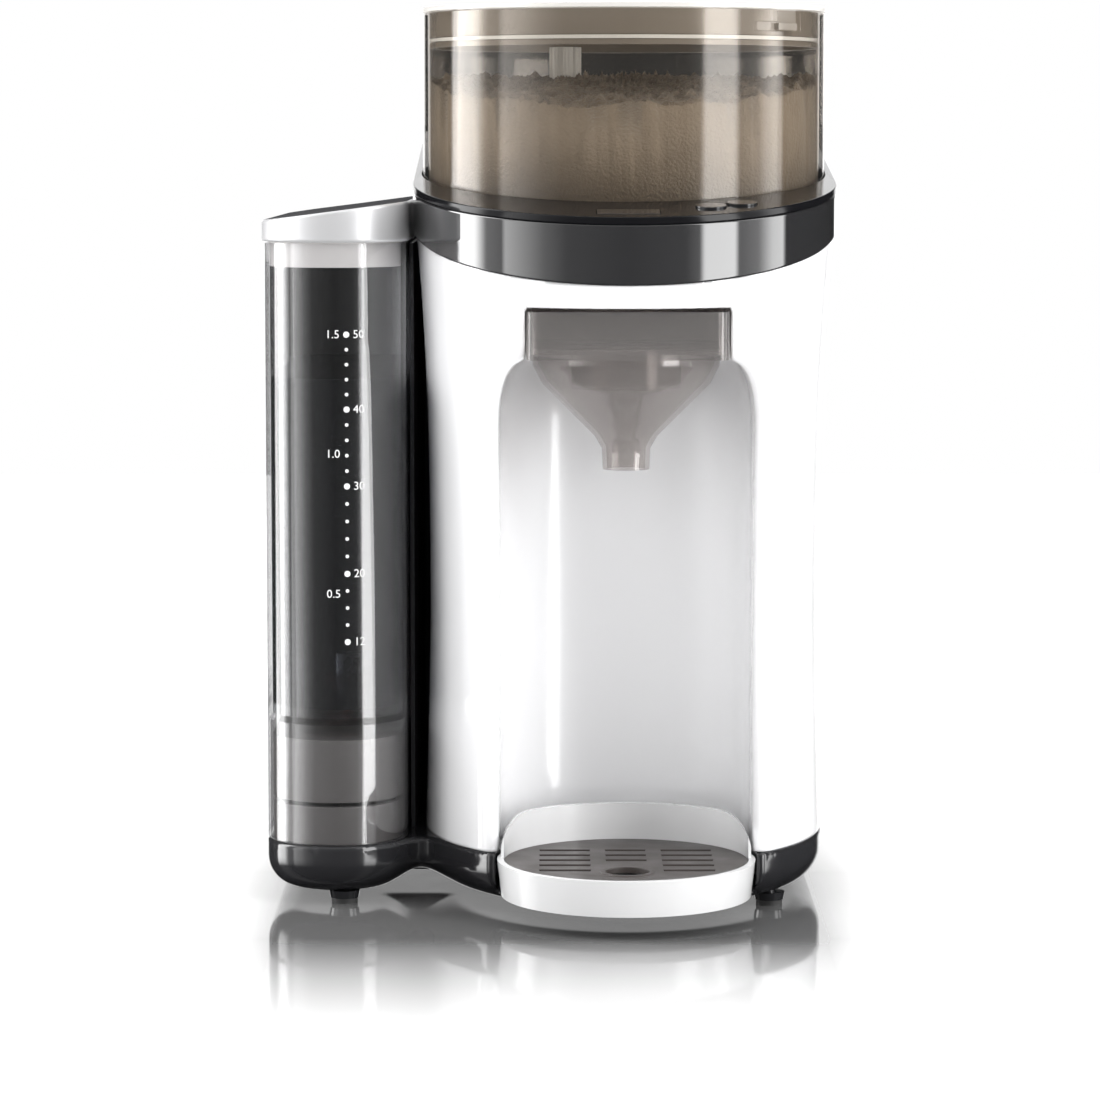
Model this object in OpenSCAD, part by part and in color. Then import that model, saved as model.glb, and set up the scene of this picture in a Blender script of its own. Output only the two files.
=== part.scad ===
// Formula dispenser: a bottle bay and funnel under a powder hopper, with a lift-off
// water tank on the left. Millimetres. +Z is up and -Y is the front. The origin lies
// on the standing surface, under the middle of the whole machine.

/* [Body] */
// Sideways place of the body's middle plane
body_x = 29.8; // [29:0.1:30.6]
// Front-to-back place of the body's widest section
wide_y = -33; // [-35:1:-31]
// Half width of the fascia band
band_half = 84.6; // [84.4:0.1:85.2]
// Half width of the white shell under the band
shell_half = 83.6; // [83:0.1:84]
// Half width of the white shell at its waist
waist_half = 78.3; // [77:0.1:80]
// Half width of the white shell at the base
foot_half = 80.6; // [80:0.1:82]
// How far the front bows out at the band
top_bow = 96; // [92:1:98]
// Back face of the machine
back_y = 145; // [144:1:150]
// Wall thickness of the moulded shells
wall = 2.5; // [2:0.1:3]
// Height of the base's top edge
base_top = 24.5; // [24:0.5:26]
// Height of the base's underside
base_bottom = 5; // [4.5:0.5:6]
// Height of the deck's top face at the hopper's axis
deck_z = 289.7; // [288:0.5:291]
// Forward slope of the deck, rise over run
deck_slope = 0.131; // [0.1:0.01:0.14]
// Height of the fascia band's lower edge at the widest section
band_z = 268.3; // [267:0.5:269]
// Forward slope of the fascia band's lower edge, rise over run
band_slope = 0.214; // [0.2:0.01:0.22]

/* [Hopper] */
// Front-to-back place of the hopper's axis
hopper_y = -7; // [-8:1:-6]
// Outer radius of the hopper
hopper_r = 81.4; // [81:0.1:81.6]
// Height of the hopper's underside
hopper_bottom = 271; // [270.8:0.1:272]
// Height of the hopper's rim
hopper_top = 353.5; // [345:0.5:360]
// Radius of the powder outlet
outlet_r = 10; // [8:0.5:11]
// Teeth on the drive gear
gear_teeth = 40; // [40]
// Teeth on the motor pinion
pinion_teeth = 12; // [12]
// Gear module
gear_module = 1.5; // [1.5]

/* [Bottle bay] */
// Half width of the bay
bay_half = 52; // [50:0.5:54]
// Front-to-back place of the bay's deepest point
bay_back = -25; // [-27:1:-22]
// Height where the bay's shoulders start to close in
bay_shoulder_z = 190; // [185:1:195]
// Height of the ledge that carries the funnel
ledge_z = 218.7; // [216:0.5:220]
// Height of the bay's ceiling
ceiling_z = 239; // [238:0.5:241]
// Front-to-back place of the spout
spout_y = -75; // [-76:0.5:-74]

/* [Tray] */
// Front-to-back place of the tray's centre
tray_y = -95; // [-96:0.5:-94]
// Radius of the tray's rim
tray_r = 50.5; // [49:0.5:51]
// Height of the tray's rim
tray_rim_z = 23; // [22:0.5:24]
// Height of the tray's splash guard
guard_z = 37; // [30:1:42]

/* [Tank] */
// Sideways place of the tank's middle plane
tank_x = -85.2; // [-85.4:0.1:-85]
// Half width of the tank
tank_half = 28.2; // [27.5:0.1:28.3]
// Front-to-back place of the tank's round nose centre
nose_y = -49; // [-52:1:-46]
// Back face of the tank
tank_back = 113; // [100:1:114]
// Height of the tank's rim
tank_top = 262.4; // [262:0.1:263]
// Height of the tank's reservoir floor
tank_floor = 75; // [70:1:80]
// Wall thickness of the tank
tank_wall = 2; // [1.6:0.1:2.4]

/* [Hidden] */
$fn = 64;
fine = 96;                 // facets round the largest circles

gap = 0.3;                 // clearance between pieces that move past each other
corner_r = 28;             // plan radius of the body's rear corners
foot_shift = 14;           // how far the front leans back by the time it meets the base
lean_z = 262;              // height where the lean starts
lean = atan(foot_shift / (lean_z - base_top));
deck_t = 3;                // thickness of the deck plate
plug_r = 5;                // radius of the wheel's drive shaft
well_r = hopper_r + 0.35;  // inner radius of the deck's well
well_wall = 1;
well_floor = hopper_bottom - 0.5;
well_bottom = well_floor - 2.4;
wheel_z = hopper_bottom + 3.4;
gear_z = 255;
gear_t = 7;
gear_r = gear_module * gear_teeth / 2;
pinion_r = gear_module * pinion_teeth / 2;
pinion_y = hopper_y + gear_r + pinion_r + 0.2;
lid_top = hopper_top + 1.9;
lug_low = hopper_top - 8.2;
arm_top = hopper_top - 4.9;
funnel_half = 38.8;
funnel_front = -117;
funnel_back = -36;
funnel_top = 237.4;
grid_z = 20.5;
dock_y = 40;               // front-to-back place of the tank's outlet
hose_r = 4;                // radius of the clearance round a hose
tank_corner_r = 12;        // plan radius of the tank's rear corners
seam_y = 66;               // where the white shell meets the rear cover
bay_depth = 37;            // depth of the bay's rounded back
arch_x = 37.6;             // sideways place where the bay's shoulders start to turn down
arch_r = bay_half - arch_x;
slot_half = funnel_half + 0.6;
chute_r = 14;
nozzle_x = 24;             // sideways place of the water nozzle from the spout
nozzle_r = 3.2;
tower_x = -108;            // left face of the tower behind the tank
tower_w = 70;
tower_front = tank_back + 3;
tower_back = back_y - 8;
tower_top = base_top + 243;
inlet_x = body_x + 42;     // sideways place of the power inlet
inlet_z = 50;
inlet_r = 9;
vent_low = 190;            // height of the lowest vent slot
vent_step = 7;
vent_slots = 8;

// ---- plan outlines -------------------------------------------------------

// Points of an arc, from one angle through a sweep
function arc(cx, cy, rx, ry, from, sweep, steps) = [
    for (i = [0:steps])
        let (t = from + sweep * i / steps) [cx + rx * cos(t), cy + ry * sin(t)]
];

// Body plan: bowed front, straight sides and round rear corners
function body_plan(half, bow, back, shift = 0) = concat(
    arc(body_x, wide_y + shift, half, bow, 180, 180, 40),
    arc(body_x + half - corner_r, back - corner_r, corner_r, corner_r, 0, 90, 8),
    arc(body_x - half + corner_r, back - corner_r, corner_r, corner_r, 90, 90, 8)
);

// Half width of the white shell at a height
function shell_side(z) =
    z > 117 ? waist_half + (shell_half - waist_half) * pow((z - 117) / 153, 2.8)
            : waist_half + (foot_half - waist_half) * pow((117 - z) / 92.5, 1.3);

// Tank plan, drawn in or out by an amount: round nose and rounded rear corners
module tank_plan(grow) {
    half = tank_half + grow;
    translate([tank_x, nose_y]) circle(half);
    flat = half - tank_corner_r;
    length = tank_back + grow - nose_y;
    translate([tank_x - half, nose_y]) square([2 * half, length - tank_corner_r]);
    translate([tank_x - flat, nose_y]) square([2 * flat, length]);
    for (side = [-1, 1])
        translate([tank_x + side * flat, nose_y + length - tank_corner_r]) circle(tank_corner_r);
}

// Solid with the tank's plan between two heights
module tank_block(low, high, grow) {
    translate([0, 0, low]) linear_extrude(high - low) tank_plan(grow);
}

// Solid with the body's plan between two heights
module body_block(low, high, half, bow, back) {
    translate([0, 0, low]) linear_extrude(high - low) polygon(body_plan(half, bow, back));
}

// Solid with the fascia band's plan between two heights
module band_block(low, high, inset) {
    body_block(low, high, band_half - inset, top_bow - inset, back_y + 0.5 - inset);
}

// Base outline, drawn in by an amount: the body's foot, the tank's foot and what joins them
module base_plan(inset) {
    polygon(body_plan(foot_half - inset, top_bow - 1 - inset, back_y - inset, foot_shift));
    tank_plan(-inset);
    translate([tank_x, -30 + inset]) square([60, tank_back + 26 - 2 * inset]);
    translate([tower_x + inset, 60]) square([tower_w + 10, tower_back - 60 - inset]);
}

// Everything above a plane that slopes down to the front
module above(y, z, slope) {
    translate([0, y, z]) rotate([atan(slope), 0, 0])
        translate([-250, -300, 0]) cube([500, 600, 200]);
}

// Everything below such a plane
module below(y, z, slope) {
    translate([0, y, z]) rotate([atan(slope), 0, 0])
        translate([-250, -300, -200]) cube([500, 600, 200]);
}

// Round tube between two heights
module ring(outer, inner, low, high) {
    translate([0, 0, low]) difference() {
        cylinder(r = outer, h = high - low);
        translate([0, 0, -1]) cylinder(r = inner, h = high - low + 2);
    }
}

// ---- white body shell ----------------------------------------------------

// Body volume under the band: leans back towards the base, with waisted sides
module body_form(inset) {
    side_steps = 16;
    low = base_top - 2;
    high = 312;
    side_z = [for (i = [0:side_steps]) low + (high - low) * i / side_steps];
    right = [for (z = side_z) [body_x + min(shell_side(z), shell_half) - inset, z]];
    left = [for (i = [side_steps:-1:0])
        [body_x - min(shell_side(side_z[i]), shell_half) + inset, side_z[i]]];
    intersection() {
        translate([0, wide_y, lean_z]) rotate([lean, 0, 0]) translate([0, -wide_y, -300])
            linear_extrude(400)
                polygon(body_plan(shell_half + 1 - inset, top_bow - 1 - inset, 300));
        body_block(low - 1, high + 1, shell_half + 2 - inset, 150, back_y - inset);
        translate([0, 300, 0]) rotate([90, 0, 0]) linear_extrude(600)
            polygon(concat(right, left));
    }
}

// Bottle bay volume: a U in plan under arched shoulders, with the funnel's slot above
module bay_form(grow) {
    half = bay_half + grow;
    arch_high = ledge_z - bay_shoulder_z + grow;
    intersection() {
        linear_extrude(ledge_z + grow) polygon(concat(
            arc(body_x, bay_back - bay_depth, half, bay_depth + grow, 0, 180, 24),
            [[body_x - half, -160], [body_x + half, -160]]
        ));
        translate([0, 10, 0]) rotate([90, 0, 0]) linear_extrude(200) polygon(concat(
            [[body_x + half, -1]],
            arc(body_x + arch_x + grow, bay_shoulder_z, arch_r, arch_high, 0, 90, 8),
            arc(body_x - arch_x - grow, bay_shoulder_z, arch_r, arch_high, 90, 90, 8),
            [[body_x - half, -1]]
        ));
    }
    translate([body_x - slot_half - grow, -160, ledge_z - 0.1])
        cube([2 * (slot_half + grow), funnel_back + 0.6 + grow + 160,
            ceiling_z - ledge_z + 0.1 + grow]);
}

// Room through the bay's ceiling for the powder chute and the nozzle
module ceiling_holes() {
    translate([body_x, spout_y, ceiling_z - 1]) cylinder(r = chute_r + gap, h = 5);
    translate([body_x + nozzle_x, spout_y, ceiling_z - 1]) cylinder(r = nozzle_r + 0.2, h = 5);
}

// Room for the deck's round well
module well_room() {
    translate([body_x, hopper_y, well_bottom - 0.2])
        cylinder(r = well_r + well_wall + 0.1, h = 80, $fn = fine);
}

module front_shell() color("white") difference() {
    union() {
        difference() {
            body_form(0);
            body_form(wall);
        }
        intersection() {
            body_form(0);
            bay_form(wall);
        }
    }
    bay_form(0);
    ceiling_holes();
    well_room();
    above(wide_y, band_z - 0.2, band_slope);
    translate([-200, seam_y, 0]) cube([500, 200, 400]);
    translate([-200, -200, 0]) cube([500, 400, base_top]);
}

module rear_cover() color([0.16, 0.16, 0.17]) difference() {
    union() {
        difference() {
            body_form(0);
            body_form(wall);
            above(wide_y, band_z - 0.2, band_slope);
        }
        difference() {
            translate([tower_x, tower_front, base_top])
                cube([tower_w, tower_back - tower_front, tower_top - base_top]);
            translate([tower_x + wall, tower_front + wall, 0])
                cube([tower_w, tower_back - tower_front - 2 * wall, tower_top - wall]);
            body_form(wall);
        }
    }
    translate([-200, -200, 0]) cube([500, 200 + seam_y + gap, 400]);
    translate([-200, -200, 0]) cube([500, 400, base_top]);
    translate([inlet_x, back_y - 10, inlet_z]) rotate([-90, 0, 0])
        cylinder(r = inlet_r + gap, h = 30);
    for (i = [0:vent_slots - 1])
        translate([body_x - 36, back_y - 10, vent_low + vent_step * i]) cube([56, 30, 3]);
}

// Dark side panel in the gap between the tank and the white shell
module tank_panel() color([0.1, 0.1, 0.11]) {
    translate([tank_x + tank_half + 0.6, -30, base_top]) cube([1.5, tank_back + 32, 237]);
}

// ---- base ----------------------------------------------------------------

// Room for the drip tray between the base's front legs
module tray_notch(grow) {
    translate([body_x, tray_y, 0]) cylinder(r = tray_r + 1.2 + grow, h = 60);
    translate([body_x - tray_r - 1.2 - grow, -170, 0])
        cube([2 * (tray_r + 1.2 + grow), 170 + tray_y, 60]);
}

// Base outline stepped in towards its underside
module base_form() {
    translate([0, 0, base_bottom]) linear_extrude(4) base_plan(6);
    translate([0, 0, base_bottom + 3]) linear_extrude(5) base_plan(2);
    translate([0, 0, base_bottom + 7]) linear_extrude(base_top - base_bottom - 7) base_plan(0);
}

module base_shell() color([0.2, 0.2, 0.21]) difference() {
    union() {
        difference() {
            base_form();
            translate([0, 0, base_bottom + wall]) linear_extrude(40) base_plan(6 + wall);
            translate([0, 0, base_bottom + 9]) linear_extrude(40) base_plan(wall);
        }
        translate([0, 0, base_top - 2]) linear_extrude(2) tank_plan(-1);
        intersection() {
            base_form();
            tray_notch(wall);
        }
    }
    translate([0, 0, base_bottom + 3.4]) tray_notch(0);
    for (place = foot_places) translate(place) cylinder(r = 2.1, h = 30);
    for (place = screw_places) translate(place) cylinder(r = 2, h = 12);
    translate([tank_x + 2, dock_y, 10]) cylinder(r = 7, h = 30);
}

foot_places = [[87.3, -68, 0], [-82, -64, 0], [87.3, 118, 0], [-82, 104, 0]];
screw_places = [[87.3, -20, 0], [87.3, 70, 0], [-28, 0, 0], [-28, 100, 0], [30, 118, 0],
    [30, -18, 0]];

// Steel plate in the base that carries the pump, heater and power board
module bottom_plate() color("silver") difference() {
    body_block(base_bottom + wall + 0.2, base_bottom + wall + 1.8, foot_half - 16, 5, back_y - 16);
    for (place = screw_places) translate(place) cylinder(r = 2, h = 12);
    for (place = foot_places) translate(place) cylinder(r = 2.1, h = 30);
}

module feet() color([0.15, 0.15, 0.16])
    for (place = foot_places) translate(place) {
        translate([0, 0, 2]) cylinder(r1 = 5.6, r2 = 6.2, h = base_bottom - 2);
        translate([0, 0, 3]) cylinder(r = 2, h = base_bottom + 4);
    }

module foot_pads() color([0.35, 0.35, 0.35])
    for (place = foot_places) translate(place) cylinder(r = 5.2, h = 2);

module case_screws() color("silver")
    for (place = screw_places) translate(place) {
        translate([0, 0, base_bottom - 1.5]) cylinder(r = 3.6, h = 1.5);
        translate([0, 0, base_bottom - 1]) cylinder(r = 1.8, h = 8);
    }

// ---- deck, band and controls ---------------------------------------------

// Places in the deck's own tilted frame: sideways, along the slope, up off its face
module on_deck(x, y) {
    translate([body_x + x, y, deck_z + deck_slope * (y - hopper_y)])
        rotate([atan(deck_slope), 0, 0]) children();
}

button_places = [[31.8, -103], [44, -95.4]];
button_r = 5.8;
display_y = -115;

module fascia_band() color([0.22, 0.22, 0.23]) difference() {
    band_block(240, 312, 0);
    band_block(239, 313, wall);
    above(hopper_y, deck_z - deck_t - 0.05, deck_slope);
    below(wide_y, band_z, band_slope);
    well_room();
}

module top_deck() color([0.05, 0.05, 0.05]) difference() {
    union() {
        difference() {
            band_block(250, 320, 0);
            above(hopper_y, deck_z, deck_slope);
            below(hopper_y, deck_z - deck_t, deck_slope);
        }
        difference() {
            translate([body_x, hopper_y, well_bottom])
                cylinder(r = well_r + well_wall, h = 60, $fn = fine);
            above(hopper_y, deck_z - 0.5, deck_slope);
        }
    }
    translate([body_x, hopper_y, well_floor]) cylinder(r = well_r, h = 60, $fn = fine);
    translate([body_x, hopper_y, well_floor - 5]) cylinder(r = plug_r + gap, h = 10);
    translate([body_x, spout_y, well_floor - 5]) cylinder(r = outlet_r + 1, h = 10);
    for (place = button_places)
        on_deck(place[0], place[1]) translate([0, 0, -6]) cylinder(r = button_r + gap, h = 12);
    on_deck(0, display_y) translate([-12.3, -6.3, -6]) cube([24.6, 12.6, 12]);
}

module display_window() color([0.02, 0.02, 0.03]) on_deck(0, display_y) {
    translate([-12, -6, -1.6]) cube([24, 12, 1.7]);
    translate([-11, -5, -2.6]) cube([22, 10, 1.2]);
}

// One push button: a round cap on a stem
module button(place) {
    on_deck(place[0], place[1]) {
        translate([0, 0, -2.6]) cylinder(r = button_r, h = 3.4);
        translate([0, 0, -5]) cylinder(r = 2.5, h = 2.6);
    }
}

module start_button() color([0.1, 0.1, 0.1]) button(button_places[1]);

module menu_button() color([0.1, 0.1, 0.1]) button(button_places[0]);

module control_board() color("seagreen") {
    intersection() {
        on_deck(16, -106) translate([-32, -10, -9.6]) cube([64, 24, 1.6]);
        band_block(240, 300, wall + 1);
    }
    for (place = button_places)
        on_deck(place[0] - 1, place[1]) translate([-2.5, -2.5, -8.05]) cube([5, 5, 1.4]);
}

// ---- hopper --------------------------------------------------------------

// Ring sector about the hopper's axis; 0 degrees is the front, positive to the right
module sector(inner, outer, low, high, from, to) {
    translate([body_x, hopper_y, low]) rotate([0, 0, 270 + from])
        rotate_extrude(angle = to - from, $fn = fine)
            translate([inner, 0]) square([outer - inner, high - low]);
}

hopper_wall = 2.2;
slot_from = 38.8;          // the lid's slot turns back this far from the front
entry_from = 46.8;         // the slot's way in from above
entry_to = 57.8;

module hopper() color([0.45, 0.4, 0.36, 0.5]) difference() {
    translate([body_x, hopper_y, hopper_bottom])
        cylinder(r = hopper_r, h = hopper_top - hopper_bottom, $fn = fine);
    translate([body_x, hopper_y, hopper_bottom + 3])
        cylinder(r = hopper_r - hopper_wall, h = 200, $fn = fine);
    translate([body_x, hopper_y, hopper_bottom - 1]) cylinder(r = plug_r + gap, h = 10);
    translate([body_x, spout_y, hopper_bottom - 1]) cylinder(r = outlet_r, h = 10);
    for (turn = [0, 180]) {
        sector(hopper_r - 4, hopper_r + 2, lug_low, arm_top, slot_from + turn, entry_to + turn);
        sector(hopper_r - 4, hopper_r + 2, lug_low, hopper_top + 1, entry_from + turn, entry_to + turn);
    }
}

skirt_r = hopper_r - hopper_wall - gap;

module hopper_lid() color([0.85, 0.84, 0.8]) {
    translate([body_x, hopper_y, 0]) {
        translate([0, 0, hopper_top + gap])
            cylinder(r = hopper_r + 0.6, h = lid_top - hopper_top - gap, $fn = fine);
        difference() {
            ring(skirt_r, skirt_r - 2, hopper_top - 14, hopper_top + 0.5, $fn = fine);
            ring(skirt_r + 1, skirt_r - 1, hopper_top - 12, hopper_top - 10, $fn = fine);
        }
    }
    for (turn = [0, 180])
        sector(skirt_r - 0.5, hopper_r - 0.4, lug_low + gap, arm_top - gap,
            entry_from + 0.7 + turn, entry_to - 1.3 + turn);
}

module lid_seal() color([0.7, 0.7, 0.68])
    translate([body_x, hopper_y, 0])
        ring(skirt_r - 0.05, skirt_r - 0.8, hopper_top - 11.7, hopper_top - 10.3, $fn = fine);

// Dosing wheel with six powder pockets round its rim
module mixing_wheel() color([0.88, 0.88, 0.86])
        translate([body_x, hopper_y, wheel_z]) difference() {
    union() {
        cylinder(r = 77.5, h = 5, $fn = fine);
        cylinder(r = 13, h = 12);
    }
    for (i = [0:5]) rotate([0, 0, 60 * i + 30])
        translate([0, spout_y - hopper_y, -1]) cylinder(r = 7.5, h = 10);
    translate([0, 0, -1]) cylinder(r = plug_r + 0.05, h = 9);
}

post_place = [-23.5, 15, 6];

// Stirring arms with the ribbed post that breaks up the powder
module agitator() color([0.8, 0.79, 0.76, 0.7]) translate([body_x, hopper_y, wheel_z]) {
    difference() {
        union() {
            translate([0, 0, 6]) cylinder(r = 16, h = 5);
            for (turn = [100, 220, 340]) rotate([0, 0, turn])
                translate([14, -2, 6]) cube([52, 4, 5]);
            rotate([0, 0, 146]) translate([15, -2, 6]) cube([18, 4, 5]);
            translate(post_place) {
                cylinder(r = 5.5, h = 60);
                for (i = [0:7]) rotate([0, 0, 45 * i]) translate([5.6, 0, 14])
                    cylinder(r = 0.9, h = 46);
            }
        }
        translate([0, 0, 5]) cylinder(r = 13.3, h = 8);
    }
}

// ---- drive ---------------------------------------------------------------

// Spur gear outline with trapezoid teeth, starting with a tooth on +Y
module gear_outline(teeth, shift) {
    pitch_r = gear_module * teeth / 2;
    tip = pitch_r + 0.95 * gear_module;
    root = pitch_r - 1.2 * gear_module;
    step = 360 / teeth;
    corners = [[root, -0.34], [pitch_r, -0.22], [tip, -0.1],
        [tip, 0.1], [pitch_r, 0.22], [root, 0.34]];
    polygon([for (i = [0:teeth - 1], corner = corners)
        let (t = 90 + (i + shift + corner[1]) * step) [corner[0] * cos(t), corner[0] * sin(t)]
    ]);
}

module drive_shaft() color("silver") translate([body_x, hopper_y, gear_z - 3]) {
    cylinder(r = plug_r, h = wheel_z + 7 - gear_z + 3);
}

module drive_gear() color("ivory") translate([body_x, hopper_y, gear_z]) difference() {
    linear_extrude(gear_t) gear_outline(gear_teeth, 0);
    translate([0, 0, -1]) cylinder(r = plug_r, h = gear_t + 2);
    for (i = [0:4]) rotate([0, 0, 72 * i]) translate([16, 0, -1]) cylinder(r = 5, h = gear_t + 2);
}

module pinion() color("goldenrod") translate([body_x, pinion_y, gear_z]) difference() {
    linear_extrude(gear_t) gear_outline(pinion_teeth, 0.5);
    translate([0, 0, -1]) cylinder(r = 3, h = gear_t + 2);
}

module pinion_shaft() color("silver")
    translate([body_x, pinion_y, gear_z - 6]) cylinder(r = 3, h = gear_t + 6);

module gearbox_plate() color("silver") difference() {
    translate([body_x - 22, hopper_y - 10, gear_z - 3.6]) cube([44, 66, 2]);
    translate([body_x, hopper_y, gear_z - 8]) cylinder(r = plug_r + 0.08, h = 10);
    translate([body_x, pinion_y, gear_z - 8]) cylinder(r = 3.08, h = 10);
}

module gear_motor() color("dimgray") translate([body_x, pinion_y, 0]) difference() {
    union() {
        translate([0, 0, gear_z - 22]) cylinder(r = 18, h = 18.3);
        translate([0, 0, gear_z - 52]) cylinder(r = 14, h = 30.5);
    }
    translate([0, 0, gear_z - 8]) cylinder(r = 3.08, h = 10);
}

module powder_chute() color([0.85, 0.85, 0.83]) translate([body_x, spout_y, 0]) {
    ring(chute_r, outlet_r + 1, ceiling_z + 0.2, well_bottom - 0.1);
}

module water_nozzle() color([0.3, 0.3, 0.32]) translate([body_x + nozzle_x, spout_y, 0])
    ring(nozzle_r, 1.6, ceiling_z + 0.2, nozzle_hose_z - 2.6);

// ---- funnel --------------------------------------------------------------

// Rounded rectangle in plan between two corners
module pad_plan(x_half, front, back, r) {
    translate([body_x - x_half, front + r]) square([2 * x_half, back - front - 2 * r]);
    translate([body_x - x_half + r, front]) square([2 * x_half - 2 * r, back - front]);
    for (side = [-1, 1], y = [front + r, back - r])
        translate([body_x + side * (x_half - r), y]) circle(r, $fn = 32);
}

funnel_floor = ledge_z + gap;
cone_outer = [[36.8, funnel_floor + 2], [36.6, 215], [33, 208], [12.4, 187.4], [9.6, 182.6],
    [9.2, 174.3]];
cone_inner = [[7.4, 174.3], [7.8, 183.2], [10.6, 188], [31, 209], [34.6, 215.6],
    [34.8, funnel_floor + 2]];

module funnel() color([0.45, 0.43, 0.42, 0.6]) {
    difference() {
        translate([0, 0, funnel_floor]) linear_extrude(funnel_top - funnel_floor)
            pad_plan(funnel_half, funnel_front, funnel_back, 5);
        translate([0, 0, funnel_floor + 2]) linear_extrude(40)
            pad_plan(funnel_half - 2, funnel_front + 2, funnel_back - 2, 3.4);
        translate([body_x, spout_y, funnel_floor - 5]) cylinder(r = 34.8, h = 10);
    }
    translate([body_x, spout_y, 0]) rotate_extrude(angle = 360)
        polygon(concat(cone_outer, cone_inner));
}

module funnel_insert() color([0.5, 0.48, 0.46, 0.6]) difference() {
    union() {
        translate([0, 0, funnel_floor + 2.3]) linear_extrude(1.8)
            pad_plan(funnel_half - 2.4, funnel_front + 2.4, funnel_back - 2.4, 3);
        translate([body_x, spout_y, 206.2]) cylinder(r = 21.5, h = 16);
    }
    translate([body_x, spout_y, 200]) cylinder(r = 19.7, h = 40);
}

// ---- drip tray -----------------------------------------------------------

tray_low = base_bottom + 3.9;

module drip_tray() color("white") {
    translate([body_x, tray_y, 0]) difference() {
        union() {
            translate([0, 0, tray_low])
                cylinder(r1 = tray_r - 1.6, r2 = tray_r, h = tray_rim_z - tray_low, $fn = fine);
            intersection() {
                translate([0, 0, tray_low + 3])
                    cylinder(r = tray_r, h = guard_z - tray_low - 3, $fn = fine);
                translate([0, 60, 0]) rotate([90, 0, 0]) linear_extrude(58) guard_face();
            }
        }
        translate([0, 0, tray_low + 2.4]) cylinder(r = tray_r - 2.6, h = 60, $fn = fine);
    }
    translate([body_x, tray_y, 0])
        ring(tray_r - 2.4, tray_r - 5, tray_low + 2, grid_z - gap, $fn = fine);
}

// Front view of the splash guard: flat top with round shoulders
module guard_face() {
    half = 38;
    r = 11;
    polygon(concat(
        [[half + r, tray_low + 5], [half + r, tray_rim_z]],
        arc(half, guard_z - r, r, r, 0, 90, 8),
        arc(-half, guard_z - r, r, r, 90, 90, 8),
        [[-half - r, tray_rim_z], [-half - r, tray_low + 5]]
    ));
}

slot_rows = [-23, -12, -1, 10, 21];
finger_y = -27;            // finger hole's place, ahead of the grid's middle

module tray_grid() color([0.3, 0.27, 0.26])
        translate([body_x, tray_y, grid_z]) difference() {
    union() {
        cylinder(r = tray_r - 2.9, h = 2, $fn = fine);
        translate([0, finger_y, 0]) cylinder(r = 10.5, h = 2.4);
    }
    translate([0, finger_y, -1]) cylinder(r = 8.5, h = 6);
    for (y = slot_rows, side = [-1, 1])
        translate([side * 24 - 10, y - 1.8, -1]) cube([20, 3.6, 6]);
    for (i = [2:4]) translate([-8, slot_rows[i] - 1.8, -1]) cube([16, 3.6, 6]);
}

// ---- water tank ----------------------------------------------------------

valve_hole_r = 7;

module water_tank() color([0.3, 0.3, 0.32, 0.5]) difference() {
    tank_block(base_top + gap, tank_top, 0);
    tank_block(tank_floor, tank_top + 5, -tank_wall);
    tank_block(0, tank_floor - 2.4, -tank_wall + 1);
    translate([tank_x, dock_y, tank_floor - 10]) cylinder(r = valve_hole_r, h = 20);
}

lid_mid_z = 275.1;         // height of the tank lid's top over the tank's middle
lid_tilt = 7.2;            // it rises towards the body at this angle

module tank_lid() color([0.6, 0.6, 0.61]) difference() {
    tank_block(tank_top + 0.4, 279, 1);
    tank_block(tank_top - 1, tank_top + 4, -1);
    translate([tank_x, 0, lid_mid_z]) rotate([0, -lid_tilt, 0])
        translate([-100, -200, 0]) cube([200, 400, 60]);
}

module tank_lid_skirt() color([0.78, 0.77, 0.75]) difference() {
    tank_block(253, tank_top + 3.9, -tank_wall - gap);
    tank_block(252, tank_top + 3, -tank_wall - gap - 2.2);
}

// Poppet that shuts the tank's outlet when the tank is lifted off
module tank_valve() color([0.75, 0.3, 0.2]) translate([tank_x, dock_y, 0]) {
    translate([0, 0, tank_floor + gap]) cylinder(r = 10, h = 2.5);
    translate([0, 0, tank_floor - 6]) cylinder(r = 3, h = 8);
}

module valve_spring() color("silver") translate([tank_x, dock_y, 0])
    ring(6, 4.6, tank_floor + 3, tank_floor + 12);

// ---- tank pedestal -------------------------------------------------------

pedestal_in = tank_wall + 0.4;   // how far the pedestal's face stands inside the tank's
pedestal_top = tank_floor - 8.6;
groove_low = 39.8;         // the dark groove between the two pedestal blocks
groove_high = 41.5;
pin_low = tank_floor - 14;

// Hollow block under the tank, open below, with a hole in its top for the dock pin
module pedestal(low, high, grow) {
    difference() {
        tank_block(low, high, grow);
        tank_block(low - 1, high - 2, grow - 2);
        translate([tank_x, dock_y, low]) cylinder(r = hose_r + 0.1, h = high);
    }
}

module pedestal_upper() color([0.72, 0.7, 0.67]) pedestal(groove_high, pedestal_top, -pedestal_in);

module pedestal_lower() color([0.72, 0.7, 0.67]) difference() {
    pedestal(base_top, groove_low, -pedestal_in);
    tank_block(0, 90, -pedestal_in - 2.6);
}

module dock_seal() color([0.2, 0.2, 0.2]) translate([tank_x, dock_y, 0])
    ring(9, 5, pedestal_top + 0.1, pedestal_top + 1.9);

// Hollow pin that pushes the tank's valve up and takes the water down
module dock_pin() color([0.8, 0.8, 0.8]) translate([tank_x, dock_y, 0])
    ring(hose_r, 2.6, pin_low, pedestal_top + 2.2);

// ---- water path ----------------------------------------------------------

// Quarter bend of hose in the X-Z plane: up on the +X side, then over to above the centre
module bend(r) {
    rotate([90, 0, 0]) rotate_extrude(angle = 90, $fn = 48)
        translate([bend_r, 0]) circle(r, $fn = 32);
}

// Straight run of hose
module hose_run(length, r) {
    cylinder(r = r, h = length);
}

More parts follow.
